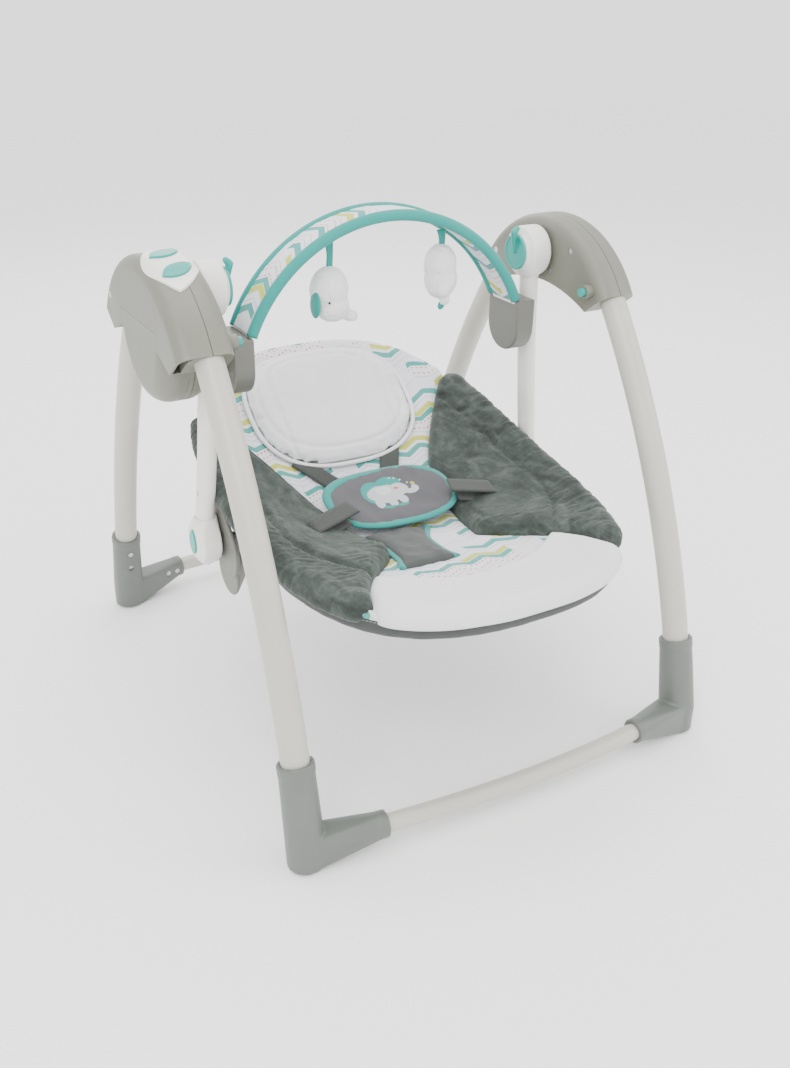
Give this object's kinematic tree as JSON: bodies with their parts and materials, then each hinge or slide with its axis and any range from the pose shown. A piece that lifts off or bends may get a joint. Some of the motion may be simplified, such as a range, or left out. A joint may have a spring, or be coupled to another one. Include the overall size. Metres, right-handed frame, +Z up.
{
  "type": "baby swing",
  "caption": "Portable infant swing: folding A-frame stand with bowed tube legs, two hanging swing arms, a padded oval seat and an arched toy bar with plush toys.",
  "frame": {"origin": "on the floor, midway between the four feet, under the swing axle", "axes": "+X towards the sitter's left, +Y towards the head end, -Y towards the foot end, +Z up"},
  "size_m": [0.558, 0.684, 0.5916],
  "materials": {
    "tube_paint": "satin powder coat",
    "shell_grey": "fine matte texture",
    "foot_grey": "satin",
    "clip_grey": "satin",
    "white_plastic": "satin gloss",
    "teal_plastic": "satin gloss",
    "steel": "zinc plated",
    "battery_wrap": "printed wrap",
    "board_green": "solder mask",
    "speaker_black": "matte",
    "copper_wire": "enamelled winding",
    "magnet": "nickel plated",
    "toy_band": "printed band with piped edges",
    "plush_white": "short plush",
    "ring_steel": "black powder coat",
    "print_fabric": "zigzag printed jersey",
    "sling_fabric": "woven polyester",
    "plush_grey": "crushed velour",
    "panel_fabric": "knit",
    "pillow_fabric": "knit with piped edge",
    "waist_fabric": "woven with bound edge",
    "crotch_fabric": "woven with bound edge",
    "webbing": "woven webbing"
  },
  "bodies": {
    "stand": {"front_left_leg": "tube_paint", "front_right_leg": "tube_paint", "front_left_foot": "foot_grey", "front_right_foot": "foot_grey", "front_base_bar": "tube_paint", "front_foot_screws": "steel", "motor_housing_outer": "shell_grey", "motor_housing_inner": "shell_grey", "battery_door": "shell_grey", "batteries": "battery_wrap", "control_panel": "white_plastic", "circuit_board": "board_green", "speaker": "speaker_black", "drive_coil": "copper_wire", "plain_housing_outer": "shell_grey", "plain_housing_inner": "shell_grey", "housing_screws": "steel", "axle_bushes": "white_plastic", "fold_pins": "steel", "left_fold_spring": "steel", "right_fold_spring": "steel"},
    "rear_frame": {"rear_left_leg": "tube_paint", "rear_right_leg": "tube_paint", "rear_left_foot": "foot_grey", "rear_right_foot": "foot_grey", "rear_base_bar": "tube_paint", "rear_foot_screws": "steel", "leg_knuckles": "clip_grey"},
    "swing_arms": {"left_arm": "white_plastic", "right_arm": "white_plastic", "hub_caps": "teal_plastic", "swing_axles": "steel", "magnet_lever": "white_plastic", "drive_magnet": "magnet", "left_pivot_casing": "white_plastic", "right_pivot_casing": "white_plastic", "hinge_pins": "steel", "arm_screws": "steel"},
    "toy_bar": {"toy_bar_strip": "white_plastic", "toy_bar_sleeve": "toy_band", "bar_sockets": "clip_grey"},
    "left_toy": {"left_toy": "plush_white"},
    "right_toy": {"right_toy": "plush_white"},
    "seat": {"seat_ring": "ring_steel", "seat_brackets": "clip_grey", "seat_cushion": "print_fabric", "under_sling": "sling_fabric", "wing_pads": "plush_grey", "foot_panel": "panel_fabric", "head_pillow": "pillow_fabric", "waist_pad": "waist_fabric", "crotch_strap": "crotch_fabric", "harness_straps": "webbing", "harness_buckle": "clip_grey"},
    "left_recline_button": {"left_recline_button": "teal_plastic"},
    "right_recline_button": {"right_recline_button": "teal_plastic"},
    "left_fold_button": {"left_fold_button": "teal_plastic"},
    "right_fold_button": {"right_fold_button": "teal_plastic"},
    "power_button": {"power_button": "teal_plastic"},
    "music_button": {"music_button": "teal_plastic"}
  },
  "joints": [
    {"name": "swing", "type": "hinge", "parent": "stand", "child": "swing_arms", "pos_m": [0, 0, 0.525], "axis": [-1, 0, 0], "range_deg": [-14, 14]},
    {"name": "rear_fold", "type": "hinge", "parent": "stand", "child": "rear_frame", "pos_m": [0, 0.0965, 0.50562], "axis": [-1, 0, 0], "range_deg": [0, 28]},
    {"name": "toy_bar_tilt", "type": "hinge", "parent": "swing_arms", "child": "toy_bar", "pos_m": [0, -0.004, 0.44], "axis": [-1, 0, 0], "range_deg": [-30, 35]},
    {"name": "left_toy_swing", "type": "hinge", "parent": "toy_bar", "child": "left_toy", "pos_m": [-0.066, -0.004, 0.56307], "axis": [1, 0, 0], "range_deg": [-30, 30]},
    {"name": "right_toy_swing", "type": "hinge", "parent": "toy_bar", "child": "right_toy", "pos_m": [0.078, -0.004, 0.55788], "axis": [1, 0, 0], "range_deg": [-30, 30]},
    {"name": "seat_recline", "type": "hinge", "parent": "swing_arms", "child": "seat", "pos_m": [0, 0.005, 0.232], "axis": [1, 0, 0], "range_deg": [0, 12]},
    {"name": "left_recline_press", "type": "slide", "parent": "swing_arms", "child": "left_recline_button", "axis": [1, 0, 0], "range_m": [0, 0.004], "stiffness_N_per_m": 400},
    {"name": "right_recline_press", "type": "slide", "parent": "swing_arms", "child": "right_recline_button", "axis": [-1, 0, 0], "range_m": [0, 0.004], "stiffness_N_per_m": 400},
    {"name": "left_fold_press", "type": "slide", "parent": "stand", "child": "left_fold_button", "axis": [-1, 0, 0], "range_m": [0, 0.004], "stiffness_N_per_m": 400, "deforming": ["left_fold_spring"]},
    {"name": "right_fold_press", "type": "slide", "parent": "stand", "child": "right_fold_button", "axis": [1, 0, 0], "range_m": [0, 0.004], "stiffness_N_per_m": 400, "deforming": ["right_fold_spring"]},
    {"name": "power_press", "type": "slide", "parent": "stand", "child": "power_button", "axis": [0, 0.3265, -0.9452], "range_m": [0, 0.0015], "stiffness_N_per_m": 400},
    {"name": "music_press", "type": "slide", "parent": "stand", "child": "music_button", "axis": [0, 0.0612, -0.9981], "range_m": [0, 0.0015], "stiffness_N_per_m": 400}
  ]
}
